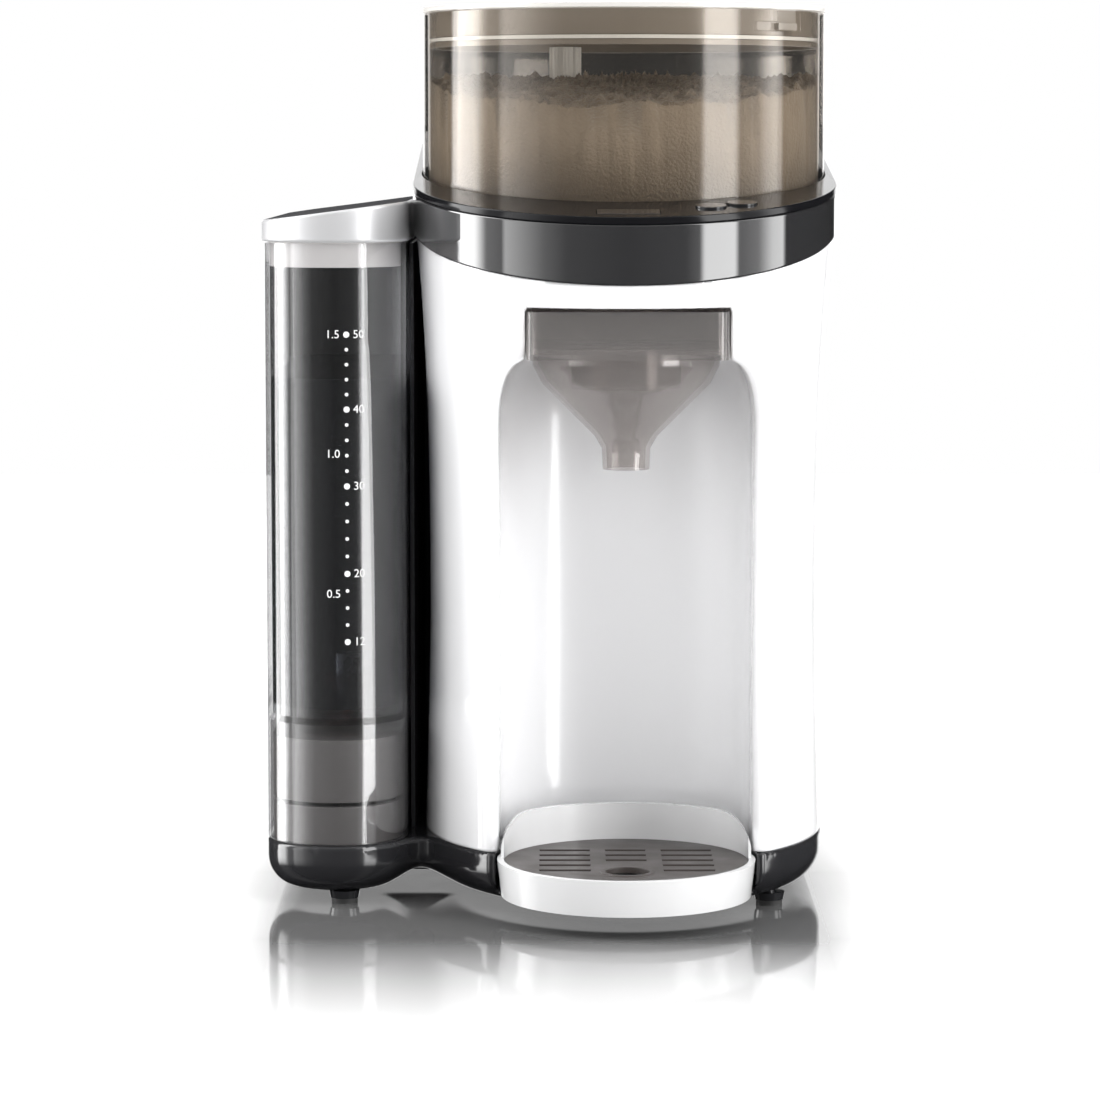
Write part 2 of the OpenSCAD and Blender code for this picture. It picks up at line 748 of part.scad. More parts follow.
pump_x = -18;
pump_r = 18;
pump_low = base_bottom + wall + 2;
bend_r = 12;
heater_x = 64;
heater_y = 40;
heater_z = 42;
heater_r = 16;
heater_length = 120;
stub_length = 10;
nozzle_hose_z = 247.5;     // height of the heated water's run over the bay
low_run_z = 18;            // height of the hose runs in the base

module inlet_hose() color([0.85, 0.85, 0.85]) {
    r = hose_r - 0.5;
    translate([tank_x, dock_y, low_run_z + bend_r])
        hose_run(pin_low - low_run_z - bend_r, r);
    translate([tank_x + bend_r, dock_y, low_run_z + bend_r])
        rotate([0, 0, 180]) mirror([0, 0, 1]) bend(r);
    translate([tank_x + bend_r, dock_y, low_run_z]) rotate([0, 90, 0])
        hose_run(pump_x - pump_r - tank_x - bend_r - 0.1, r);
}

module water_pump() color([0.25, 0.25, 0.27]) translate([pump_x, dock_y, pump_low]) {
    cylinder(r = pump_r, h = 20);
    translate([0, 0, 20]) cylinder(r = 15, h = 5);
}

module pump_motor() color("silver") translate([pump_x, dock_y, pump_low + 25]) {
    cylinder(r = 14, h = 42);
    cylinder(r = 3, h = 46);
}

module pump_hose() color([0.85, 0.85, 0.85]) {
    r = hose_r - 0.5;
    start = pump_x + pump_r + 0.1;
    translate([start, dock_y, low_run_z]) rotate([0, 90, 0]) hose_run(heater_x - bend_r - start, r);
    translate([heater_x - bend_r, heater_y, low_run_z + bend_r]) mirror([0, 0, 1]) bend(r);
    translate([heater_x, heater_y, low_run_z + bend_r]) hose_run(heater_z - low_run_z - bend_r, r);
}

// Heater tube with two clamp rings and its outlet stub
module water_heater() color([0.75, 0.75, 0.78]) translate([heater_x, heater_y, heater_z]) {
    cylinder(r = heater_r, h = heater_length);
    for (z = [18, 96]) translate([0, 0, z]) cylinder(r = heater_r + 2, h = 5);
    translate([0, 0, heater_length]) cylinder(r = 5, h = stub_length);
}

// Folded bridge of sheet steel that the heater stands on
module heater_bracket() color("silver") difference() {
    translate([heater_x - 20, heater_y - 20, pump_low]) cube([40, 40, heater_z - pump_low]);
    translate([heater_x - 30, heater_y - 17.5, pump_low - 1])
        cube([60, 35, heater_z - pump_low - 1]);
    translate([heater_x, heater_y, 0]) cylinder(r = hose_r, h = 60);
}

module thermostat() color("dimgray")
    translate([heater_x - 8, heater_y + heater_r + 0.2, 90]) cube([16, 9, 16]);

module outlet_hose() color([0.85, 0.85, 0.85]) {
    r = 2.6;
    low = heater_z + heater_length + stub_length;
    top = nozzle_hose_z - bend_r;
    run = heater_y - bend_r - spout_y - 2;
    translate([heater_x, heater_y, low]) hose_run(top - low, r);
    translate([heater_x, heater_y - bend_r, top]) rotate([0, 0, 90]) bend(r);
    translate([heater_x, heater_y - bend_r, nozzle_hose_z]) rotate([90, 0, 0]) hose_run(run, r);
    translate([body_x + 20.5, spout_y - 3.5, nozzle_hose_z - r])
        cube([heater_x - body_x - 18, 7, 2 * r]);
}

module power_board() color("seagreen") {
    translate([body_x - 40, 112, 60]) cube([70, 1.8, 80]);
    translate([body_x - 34, 94, 70]) cube([26, 18, 24]);
    translate([body_x + 4, 96, 104]) cube([18, 16, 26]);
}

module power_inlet() color([0.12, 0.12, 0.12])
        translate([inlet_x, 0, inlet_z]) rotate([-90, 0, 0]) difference() {
    union() {
        translate([0, 0, back_y - 18]) cylinder(r = inlet_r, h = 18.2);
        translate([0, 0, back_y - wall - 3.2]) cylinder(r = inlet_r + 3, h = 3);
    }
    translate([0, 0, back_y - 12]) cylinder(r = 3.2, h = 20);
}

module vent_grille() color([0.2, 0.2, 0.21]) difference() {
    translate([body_x - 40, back_y - wall - 2.2, vent_low - 6]) cube([64, 2, 64]);
    for (i = [0:13], j = [0:vent_slots - 1])
        translate([body_x - 35 + 4 * i, back_y - 10, vent_low + vent_step * j]) cube([2, 20, 3]);
}

base_shell();
bottom_plate();
feet();
foot_pads();
case_screws();
front_shell();
rear_cover();
tank_panel();
fascia_band();
top_deck();
display_window();
control_board();
start_button();
menu_button();
hopper();
hopper_lid();
lid_seal();
mixing_wheel();
agitator();
drive_shaft();
drive_gear();
pinion();
pinion_shaft();
gearbox_plate();
gear_motor();
powder_chute();
water_nozzle();
funnel();
funnel_insert();
drip_tray();
tray_grid();
water_tank();
tank_lid();
tank_lid_skirt();
tank_valve();
valve_spring();
pedestal_upper();
pedestal_lower();
dock_seal();
dock_pin();
water_pump();
pump_motor();
inlet_hose();
pump_hose();
outlet_hose();
water_heater();
heater_bracket();
thermostat();
power_board();
power_inlet();
vent_grille();
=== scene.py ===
import math

import bmesh
import bpy
import numpy as np
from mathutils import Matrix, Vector


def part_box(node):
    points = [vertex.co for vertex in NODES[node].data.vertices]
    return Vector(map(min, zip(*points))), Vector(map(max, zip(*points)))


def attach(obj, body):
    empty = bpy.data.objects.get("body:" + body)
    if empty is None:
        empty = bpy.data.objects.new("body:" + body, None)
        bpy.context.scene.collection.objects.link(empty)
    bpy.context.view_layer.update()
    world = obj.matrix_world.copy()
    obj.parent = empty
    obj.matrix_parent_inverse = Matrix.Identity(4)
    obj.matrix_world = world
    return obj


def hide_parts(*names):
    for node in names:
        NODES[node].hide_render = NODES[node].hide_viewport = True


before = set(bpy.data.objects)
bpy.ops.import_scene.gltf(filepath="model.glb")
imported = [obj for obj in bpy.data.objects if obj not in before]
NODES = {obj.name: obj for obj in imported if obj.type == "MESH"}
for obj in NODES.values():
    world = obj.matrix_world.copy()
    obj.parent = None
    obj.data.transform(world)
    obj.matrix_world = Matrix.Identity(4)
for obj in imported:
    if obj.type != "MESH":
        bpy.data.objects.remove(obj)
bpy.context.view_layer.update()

# The looks of the formula dispenser. The fields below work in millimetres in the CAD frame;
# every Blender object is in metres.
MM = 0.001
rng = np.random.default_rng(7)


def middle(node, axis):
    """Middle of a node's box along an axis, in millimetres."""
    low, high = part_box(node)
    return (low[axis] + high[axis]) / 2 / MM


def low_of(node, axis):
    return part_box(node)[0][axis] / MM


def high_of(node, axis):
    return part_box(node)[1][axis] / MM


# ---- places read from the frame -------------------------------------------------------
BODY_X = middle("hopper", 0)
HOPPER_Y = middle("hopper", 1)
HOPPER_R = (high_of("hopper", 0) - low_of("hopper", 0)) / 2
HOPPER_WALL = 2.2
WHEEL_R = (high_of("mixing_wheel", 0) - low_of("mixing_wheel", 0)) / 2
AGITATOR_RISE = 61.0    # from the dosing wheel's top to the agitator's
WHEEL_TOP = high_of("agitator", 2) - AGITATOR_RISE
HOPPER_FLOOR_T = 3.0
HOPPER_FLOOR = low_of("hopper", 2) + HOPPER_FLOOR_T
BASE_TOP = high_of("base_shell", 2)
BASE_LOW = low_of("base_shell", 2)
FOOT_HALF = high_of("base_shell", 0) - BODY_X
BAND_HALF = high_of("fascia_band", 0) - BODY_X
BACK_Y = high_of("base_shell", 1)
TANK_X = middle("water_tank", 0)
TANK_HALF = (high_of("water_tank", 0) - low_of("water_tank", 0)) / 2
TANK_FRONT = low_of("water_tank", 1)
TANK_BACK = high_of("water_tank", 1)
NOSE_Y = TANK_FRONT + TANK_HALF
TRAY_Y = middle("tray_grid", 1)
TRAY_R = (high_of("drip_tray", 0) - low_of("drip_tray", 0)) / 2
SEAM_Y = high_of("front_shell", 1)
FUNNEL_HALF = (high_of("funnel", 0) - low_of("funnel", 0)) / 2
FUNNEL_BACK = high_of("funnel", 1)

# ---- the body's curves, as in the CAD -------------------------------------------------
WIDE_Y = -33.0          # front-to-back place of the widest section
BOW = 95.0              # how far the front bows out from there
SHELL_HALF = 83.6       # half width under the band
WAIST_HALF = 78.3       # half width at the waist
WAIST_Z = 117.0
WAIST_TO_BAND = 153.0   # from the waist up to the band
WAIST_TO_FOOT = 92.5    # and down to the base
LEAN_Z = 262.0          # the front leans back below this height
FOOT_SHIFT = 14.0       # and by this much at the base
BAND_Z = 268.3          # height of the band's lower edge at the widest section
BAND_SLOPE = 0.214
WALL = 2.5
BAY_HALF = 52.0
BAY_BACK = -25.0
BAY_DEPTH = 37.0        # depth of the bay's rounded back
SHOULDER_Z = 190.0
SHOULDER_X = 37.6       # where the bay's shoulders start to turn down
LEDGE_Z = 218.7
CEILING_Z = 239.0
CORNER_R = 28.0         # rounded rear corners of the band and the base
BASE_ROLL = 12.0        # radius of the base dish's lower edge
TRAY_GAP = 1.2          # gap round the tray in its notch
TRAY_BED = 3.4          # floor left under the tray
REAR_Y = 60.0           # behind here the base's plan has rounded rear corners
REAR_HALF = 150.0       # half length of that plan, more than is needed ahead of REAR_Y
BRIDGE_X = -60.0        # the base between the tank's foot and the body's: its middle,
BRIDGE_Y = 53.0
BRIDGE_HALF_X = 40.0    # and its half sizes
BRIDGE_HALF_Y = 84.0
FOOT_BLEND = 26.0       # how widely the two feet's fronts flow into each other
SLOT_GAP = 0.6          # gap round the funnel in its slot
TANK_CORNER = 12.0      # rounded rear corners of the tank


# ---- fields: negative inside, in millimetres ------------------------------------------
def blend_min(a, b, r):
    """Union of two fields with a fillet of about r."""
    h = np.maximum(r - np.abs(a - b), 0.0) / r
    return np.minimum(a, b) - h * h * r / 4


def blend_max(a, b, r):
    """Intersection of two fields with a rounded edge of about r."""
    return -blend_min(-a, -b, r)


def cut(*fields):
    """Intersection of several fields with sharp edges."""
    whole = fields[0]
    for field in fields[1:]:
        whole = np.maximum(whole, field)
    return whole


def ellipse(u, v, half_u, half_v):
    """Distance to an ellipse, to first order."""
    k = np.sqrt((u / half_u) ** 2 + (v / half_v) ** 2) + 1e-9
    slope = np.sqrt((u / half_u ** 2) ** 2 + (v / half_v ** 2) ** 2) / k + 1e-9
    return (k - 1) / slope


def bowed_plan(x, y, half, bow, centre):
    """Plan with a bowed front ahead of centre and straight sides behind it."""
    dx = np.abs(x - BODY_X)
    return np.where(y < centre, ellipse(dx, y - centre, half, bow), dx - half)


def rounded_box2(u, v, half_u, half_v, r):
    qu = np.abs(u) - half_u + r
    qv = np.abs(v) - half_v + r
    outside = np.hypot(np.maximum(qu, 0), np.maximum(qv, 0))
    return outside + np.minimum(np.maximum(qu, qv), 0) - r


def side_at(z):
    """Half width of the white shell at a height."""
    up = np.clip((z - WAIST_Z) / WAIST_TO_BAND, 0, 1.05)
    down = np.clip((WAIST_Z - z) / WAIST_TO_FOOT, 0, 1.05)
    return WAIST_HALF + (SHELL_HALF - WAIST_HALF) * up ** 2.8 + (FOOT_HALF - WAIST_HALF) * down ** 1.3


def body_field(x, y, z):
    centre = WIDE_Y + FOOT_SHIFT * (LEAN_Z - z) / (LEAN_Z - BASE_TOP)
    return bowed_plan(x, y, side_at(z), BOW, centre)


def bay_field(x, y, z):
    """The bottle bay: a round-backed niche under a vault."""
    dx = np.abs(x - BODY_X)
    centre = BAY_BACK - BAY_DEPTH
    plan = np.where(y > centre, ellipse(dx, y - centre, BAY_HALF, BAY_DEPTH), dx - BAY_HALF)
    du = np.maximum(dx - SHOULDER_X, 0)
    dz = np.maximum(z - SHOULDER_Z, 0)
    vault = np.where(z > SHOULDER_Z, ellipse(du, dz, BAY_HALF - SHOULDER_X, LEDGE_Z - SHOULDER_Z),
                     dx - BAY_HALF)
    return blend_max(plan, np.maximum(vault, z - LEDGE_Z), 9.0)


def slot_field(x, y, z):
    """The funnel's slot over the bay."""
    dx = np.abs(x - BODY_X)
    return cut(dx - FUNNEL_HALF - SLOT_GAP, y - FUNNEL_BACK - SLOT_GAP, z - CEILING_Z,
               LEDGE_Z - 1.0 - z)


def shell_field(x, y, z):
    """The white body's outside: the body less the bay, with a soft lip between them."""
    body = blend_max(body_field(x, y, z), -bay_field(x, y, z), 9.0)
    return blend_max(body, -slot_field(x, y, z), 1.5)


def tank_plan(x, y, grow):
    """The tank's plan: round nose, straight sides and rounded rear corners."""
    half = TANK_HALF + grow
    dx = x - TANK_X
    nose = np.hypot(dx, y - NOSE_Y) - half
    middle_y = (NOSE_Y + TANK_BACK + grow) / 2
    length = (TANK_BACK + grow - NOSE_Y) / 2
    body = rounded_box2(dx, y - middle_y + 20, half, length + 20, TANK_CORNER)
    return np.where(y < NOSE_Y, nose, body)


def base_field(x, y, z):
    """Base dish: two lobes with a rolled lower edge, and a notch for the tray."""
    body = bowed_plan(x, y, FOOT_HALF, BOW, WIDE_Y + FOOT_SHIFT)
    rear = rounded_box2(x - BODY_X, y - BACK_Y + REAR_HALF, FOOT_HALF, REAR_HALF, CORNER_R)
    body = np.where(y > REAR_Y, rear, body)
    bridge = rounded_box2(x - BRIDGE_X, y - BRIDGE_Y, BRIDGE_HALF_X, BRIDGE_HALF_Y, 6.0)
    plan = blend_min(blend_min(body, tank_plan(x, y, 0), FOOT_BLEND), bridge, 3.0)
    inset = plan + BASE_ROLL
    below = BASE_LOW + BASE_ROLL - z
    rolled = (np.hypot(np.maximum(inset, 0), np.maximum(below, 0)) - BASE_ROLL
              + np.minimum(np.maximum(inset, below), 0))
    dish = np.maximum(np.where(below > 0, rolled, plan), BASE_LOW - z)
    dx = x - BODY_X
    notch_r = TRAY_R + TRAY_GAP
    notch = np.minimum(np.hypot(dx, y - TRAY_Y) - notch_r,
                       np.maximum(np.abs(dx) - notch_r, y - TRAY_Y))
    notch = np.maximum(notch, BASE_LOW + TRAY_BED - z)
    return np.maximum(blend_max(dish, -notch, 2.5), z - BASE_TOP + 0.02)


# ---- meshes from fields ---------------------------------------------------------------
def part_of(values, axis, start, stop):
    pick = [slice(None)] * 3
    pick[axis] = slice(start, stop)
    return values[tuple(pick)]


def net_points(values):
    """Cells that the surface crosses, and the mean crossing point in each, in grid units."""
    cells = tuple(n - 1 for n in values.shape)
    total = np.zeros(cells + (3,))
    count = np.zeros(cells)
    for axis in range(3):
        u, v = [k for k in range(3) if k != axis]
        first = part_of(values, axis, 0, -1)
        second = part_of(values, axis, 1, None)
        crossing = (first < 0) != (second < 0)
        t = np.where(crossing, first / np.where(crossing, first - second, 1.0), 0.0)
        for du in (0, 1):
            for dv in (0, 1):
                pick = [slice(None)] * 3
                pick[u] = slice(du, du + cells[u])
                pick[v] = slice(dv, dv + cells[v])
                here = crossing[tuple(pick)]
                count += here
                total[..., axis] += t[tuple(pick)]
                total[..., u] += du * here
                total[..., v] += dv * here
    used = count > 0
    points = np.argwhere(used) + total[used] / count[used][:, None]
    index = np.full(cells, -1)
    index[used] = np.arange(len(points))
    return points, index


def net_faces(values, index):
    """One quad round each grid edge that the surface crosses, wound outwards."""
    faces = []
    for axis in range(3):
        u, v = (axis + 1) % 3, (axis + 2) % 3
        first = part_of(values, axis, 0, -1)
        second = part_of(values, axis, 1, None)
        for rising, wind in ((True, 1), (False, -1)):
            hit = (first < 0) & (second >= 0) if rising else (first >= 0) & (second < 0)
            at = np.argwhere(hit)
            at = at[(at[:, u] > 0) & (at[:, v] > 0)]
            at = at[(at[:, u] < index.shape[u]) & (at[:, v] < index.shape[v])]
            ring = []
            for du, dv in ((-1, -1), (0, -1), (0, 0), (-1, 0))[::wind]:
                cell = at.copy()
                cell[:, u] += du
                cell[:, v] += dv
                ring.append(index[tuple(cell.T)])
            faces.append(np.stack(ring, axis=1))
    return np.concatenate(faces)


def settle(field, points, rounds=4):
    """Moves points onto the field's zero level."""
    h = 0.05
    for _ in range(rounds):
        value = field(*points.T)
        slope = np.stack([(field(*(points + step).T) - field(*(points - step).T)) / (2 * h)
                          for step in np.eye(3) * h], axis=1)
        size = np.maximum((slope ** 2).sum(1), 0.2)
        move = np.clip(value / size, -1.0, 1.0)
        points = points - slope * move[:, None]
    return points


def from_field(name, field, low, high, step):
    """Closed mesh object of a field's zero level, within a box in millimetres."""
    axes = [np.arange(a - 2 * step, b + 2.01 * step, step) for a, b in zip(low, high)]
    values = field(*np.meshgrid(*axes, indexing="ij", sparse=True))
    values = np.broadcast_to(values, tuple(len(a) for a in axes))
    points, index = net_points(values)
    points = points * step + np.array([a[0] for a in axes])
    points = settle(field, points)
    return mesh_object(name, points * MM, net_faces(values, index))


def mesh_object(name, points, faces, smooth=True):
    mesh = bpy.data.meshes.new(name)
    mesh.from_pydata([tuple(p) for p in points], [], [tuple(int(i) for i in f) for f in faces])
    mesh.validate()
    mesh.update()
    made = bpy.data.objects.new(name, mesh)
    bpy.context.scene.collection.objects.link(made)
    if smooth:
        mesh.shade_smooth()
    return made


# ---- materials ------------------------------------------------------------------------
def new_material(name):
    mat = bpy.data.materials.new(name)
    mat.use_nodes = True
    tree = mat.node_tree
    return mat, tree, tree.nodes["Principled BSDF"]


def noise(tree, scale, detail=3.0):
    """Noise over the piece's own metres, so that grain has a real size."""
    where = tree.nodes.new("ShaderNodeTexCoord")
    made = tree.nodes.new("ShaderNodeTexNoise")
    made.inputs["Scale"].default_value = scale
    made.inputs["Detail"].default_value = detail
    tree.links.new(where.outputs["Object"], made.inputs["Vector"])
    return made.outputs["Fac"]


def along(tree, socket, low, high, start, stop):
    """Maps a value from one range to another, held at the ends."""
    made = tree.nodes.new("ShaderNodeMapRange")
    made.inputs["From Min"].default_value = low
    made.inputs["From Max"].default_value = high
    made.inputs["To Min"].default_value = start
    made.inputs["To Max"].default_value = stop
    tree.links.new(socket, made.inputs["Value"])
    return made.outputs["Result"]


def maths(tree, kind, *values):
    """A Math node; each value is a number or a socket."""
    made = tree.nodes.new("ShaderNodeMath")
    made.operation = kind
    for place, value in enumerate(values):
        if isinstance(value, (int, float)):
            made.inputs[place].default_value = value
        else:
            tree.links.new(value, made.inputs[place])
    return made.outputs["Value"]


def spread(tree, factor, low, high):
    """Stretches a noise over a range of values."""
    return along(tree, factor, 0.3, 0.7, low, high)


def two_tone(tree, factor, colour, other):
    made = tree.nodes.new("ShaderNodeMix")
    made.data_type = "RGBA"
    made.inputs["A"].default_value = (*colour, 1)
    made.inputs["B"].default_value = (*other, 1)
    tree.links.new(factor, made.inputs["Factor"])
    return made.outputs["Result"]


def add_bump(tree, shader, height, strength, distance):
    bump = tree.nodes.new("ShaderNodeBump")
    bump.inputs["Strength"].default_value = strength
    bump.inputs["Distance"].default_value = distance
    tree.links.new(height, bump.inputs["Height"])
    tree.links.new(bump.outputs["Normal"], shader.inputs["Normal"])


def moulded(name, colour, rough, spread_rough=0.04, coat=0.0, grain=2500.0, relief=0.03,
            metal=0.0, shade=0.94, gloss=0.5):
    """Moulded plastic: slight colour drift, uneven gloss and fine surface grain."""
    mat, tree, shader = new_material(name)
    drift = noise(tree, 14.0, 2.0)
    darker = tuple(c * shade for c in colour)
    tree.links.new(two_tone(tree, drift, colour, darker), shader.inputs["Base Color"])
    smear = noise(tree, 60.0, 4.0)
    tree.links.new(spread(tree, smear, max(rough - spread_rough, 0.02), rough + spread_rough),
                   shader.inputs["Roughness"])
    shader.inputs["Metallic"].default_value = metal
    shader.inputs["Specular IOR Level"].default_value = gloss
    shader.inputs["Coat Weight"].default_value = coat
    shader.inputs["Coat Roughness"].default_value = 0.03
    add_bump(tree, shader, noise(tree, grain, 2.0), relief, 0.0002)
    return mat


def split_place(tree, kind):
    """The X, Y and Z outputs of a place on the piece, or of a direction to the world."""
    where = tree.nodes.new("ShaderNodeTexCoord")
    place = tree.nodes.new("ShaderNodeSeparateXYZ")
    tree.links.new(where.outputs[kind], place.inputs["Vector"])
    return place.outputs


def mixed(tree, share, first, second):
    """Sends a mix of two shaders to the material's surface."""
    mix = tree.nodes.new("ShaderNodeMixShader")
    if isinstance(share, float):
        mix.inputs["Fac"].default_value = share
    else:
        tree.links.new(share, mix.inputs["Fac"])
    tree.links.new(first.outputs["BSDF"], mix.inputs[1])
    tree.links.new(second.outputs["BSDF"], mix.inputs[2])
    tree.links.new(mix.outputs["Shader"], tree.nodes["Material Output"].inputs["Surface"])


def see_through(tree, tint):
    through = tree.nodes.new("ShaderNodeBsdfTransparent")
    through.inputs["Color"].default_value = (*tint, 1)
    return through


def clear(name, tint, skin, skin_share, shine=0.8, rough=0.03):
    """Tinted see-through plastic: it passes tinted light and mirrors more at a slant."""
    mat, tree, shader = new_material(name)
    smear = noise(tree, 35.0, 3.0)
    tree.links.new(spread(tree, smear, rough * 0.6, rough * 1.4), shader.inputs["Roughness"])
    tree.links.new(two_tone(tree, noise(tree, 9.0, 2.0), skin, tuple(c * 0.9 for c in skin)),
                   shader.inputs["Base Color"])
    shader.inputs["Metallic"].default_value = shine
    facing = tree.nodes.new("ShaderNodeLayerWeight")
    facing.inputs["Blend"].default_value = 0.5
    slant = maths(tree, "POWER", facing.outputs["Facing"], 4.0)
    share = along(tree, slant, 0, 1, skin_share, 0.9)
    mixed(tree, share, see_through(tree, tint), shader)
    return mat


def lid_material():
    """Milky lid: pale on top, and darkened on the skirt inside the hopper with painted shade."""
    pale = (0.88, 0.86, 0.83)
    skirt_painted_shade = (0.36, 0.32, 0.275)
    mat = clear("lid_milky", (0.9, 0.89, 0.87), pale, 0.6, shine=0.1, rough=0.15)
    tree = mat.node_tree
    # painted shade: below the hopper's rim the lid's colour goes dark, standing in for how the skirt
    # looks through the smoky wall
    rim = high_of("hopper", 2)
    height = along(tree, split_place(tree, "Object")["Z"], (rim - 0.4) * MM, (rim + 0.2) * MM, 0, 1)
    tree.links.new(two_tone(tree, height, skirt_painted_shade, pale),
                   tree.nodes["Principled BSDF"].inputs["Base Color"])
    return mat


def metal(name, colour, rough, brushed=0.0):
    mat, tree, shader = new_material(name)
    shader.inputs["Metallic"].default_value = 1.0
    tree.links.new(two_tone(tree, noise(tree, 30.0, 4.0), colour, tuple(c * 0.8 for c in colour)),
                   shader.inputs["Base Color"])
    tree.links.new(spread(tree, noise(tree, 200.0, 3.0), rough * 0.7, rough * 1.3),
                   shader.inputs["Roughness"])
    add_bump(tree, shader, noise(tree, 1200.0, 2.0), 0.05 + brushed, 0.0002)
    return mat


def powder_material(name, light, dark, scale, depth):
    """Milk powder: matt and granular, in fine grains and soft clumps."""
    mat, tree, shader = new_material(name)
    tone = noise(tree, scale, 6.0)
    tree.links.new(two_tone(tree, tone, light, dark), shader.inputs["Base Color"])
    shader.inputs["Roughness"].default_value = 0.95
    shader.inputs["Specular IOR Level"].default_value = 0.15
    shader.inputs["Sheen Weight"].default_value = 0.2
    add_bump(tree, shader, noise(tree, 7 * scale, 6.0), 0.7, depth)
    return mat


def water_material():
    mat, tree, shader = new_material("tank_water")
    # the water's near-black, partly opaque colour is painted shade for the dark inside of the tank
    shader.inputs["Base Color"].default_value = (0.012, 0.013, 0.015, 1)
    shader.inputs["Specular IOR Level"].default_value = 0.15
    tree.links.new(spread(tree, noise(tree, 20.0), 0.1, 0.2), shader.inputs["Roughness"])
    mixed(tree, 0.45, see_through(tree, (0.3, 0.31, 0.33)), shader)
    return mat


WHITE = moulded("shell_white", (0.90, 0.90, 0.91), 0.16, 0.04, coat=0.5, relief=0.015, shade=0.985)
TRAY_WHITE = moulded("tray_white", (0.74, 0.74, 0.745), 0.2, 0.05, coat=0.4, relief=0.02)
BASE_DARK = moulded("base_gloss", (0.022, 0.022, 0.024), 0.12, 0.04, coat=0.2, relief=0.02)
GRAPHITE = moulded("rear_matte", (0.03, 0.03, 0.033), 0.5, 0.08, grain=1800.0, relief=0.25)
FASCIA = moulded("fascia_gloss", (0.02, 0.02, 0.021), 0.05, 0.01, coat=1.0, relief=0.0)
DECK = moulded("deck_black", (0.006, 0.006, 0.007), 0.12, 0.02, relief=0.01, gloss=0.2)
WINDOW = moulded("display_glass", (0.012, 0.014, 0.018), 0.04, 0.01, coat=1.0, relief=0.0)
BUTTON = moulded("button_black", (0.018, 0.018, 0.02), 0.16, 0.04, coat=0.8, relief=0.04)
LID_SILVER = moulded("tank_lid_silver", (0.68, 0.68, 0.69), 0.36, 0.05, coat=0.1, metal=0.45)
PEDESTAL = moulded("pedestal_grey", (0.12, 0.113, 0.11), 0.4, 0.06, relief=0.08)
SKIRT = moulded("skirt_pale", (0.70, 0.68, 0.665), 0.4, 0.06, relief=0.08)
WHEEL = moulded("wheel_white", (0.82, 0.81, 0.78), 0.35, 0.06)
GRID = moulded("grid_taupe", (0.05, 0.042, 0.039), 0.42, 0.07, relief=0.1)
RUBBER = moulded("rubber_black", (0.03, 0.03, 0.03), 0.7, 0.08, relief=0.3)
SILICONE = moulded("silicone", (0.78, 0.77, 0.74), 0.45, 0.06)
HOSE = moulded("hose_silicone", (0.8, 0.8, 0.79), 0.4, 0.06)
NYLON = moulded("nylon", (0.83, 0.81, 0.74), 0.4, 0.06)
BOARD = moulded("circuit_board", (0.02, 0.16, 0.07), 0.35, 0.08, shade=0.8)
RED = moulded("valve_red", (0.5, 0.09, 0.05), 0.35, 0.05)
MARKS = moulded("scale_print", (0.78, 0.78, 0.78), 0.5, 0.05)
STEEL = metal("steel", (0.62, 0.62, 0.63), 0.28)
BRASS = metal("brass", (0.75, 0.56, 0.26), 0.25)
MOTOR = moulded("motor_paint", (0.2, 0.2, 0.21), 0.35, 0.06, metal=0.5)
SMOKE = clear("smoke_clear", (0.89, 0.875, 0.855), (0.9, 0.87, 0.84), 0.032, shine=0.97)
TANK_SMOKE = clear("tank_smoke", (0.93, 0.93, 0.935), (0.92, 0.92, 0.92), 0.062, shine=0.97)
FUNNEL_SMOKE = clear("funnel_smoke", (0.84, 0.82, 0.81), (0.60, 0.58, 0.57), 0.19, shine=0.4,
                     rough=0.08)
LID_CLEAR = lid_material()
# dark sheet inside the tank's rear: painted shade for the tank's dark inside
TANK_BACK_SHADE = moulded("tank_back_painted_shade", (0.035, 0.035, 0.037), 0.4, 0.05, gloss=0.2)
LID_TOP = moulded("tank_lid_top", (0.06, 0.06, 0.063), 0.6, 0.06, relief=0.1, gloss=0.0)
POWDER = powder_material("milk_powder", (0.30, 0.25, 0.195), (0.245, 0.20, 0.15), 120.0, 0.0012)
# the powder's top: coarser grains, and darker than the fill as painted shade of a top that gets less
# light
CRUMBS_AND_SHADE = powder_material("powder_crumbs_painted_shade", (0.34, 0.28, 0.215), (0.07, 0.054, 0.04), 160.0, 0.003)
WATER = water_material()

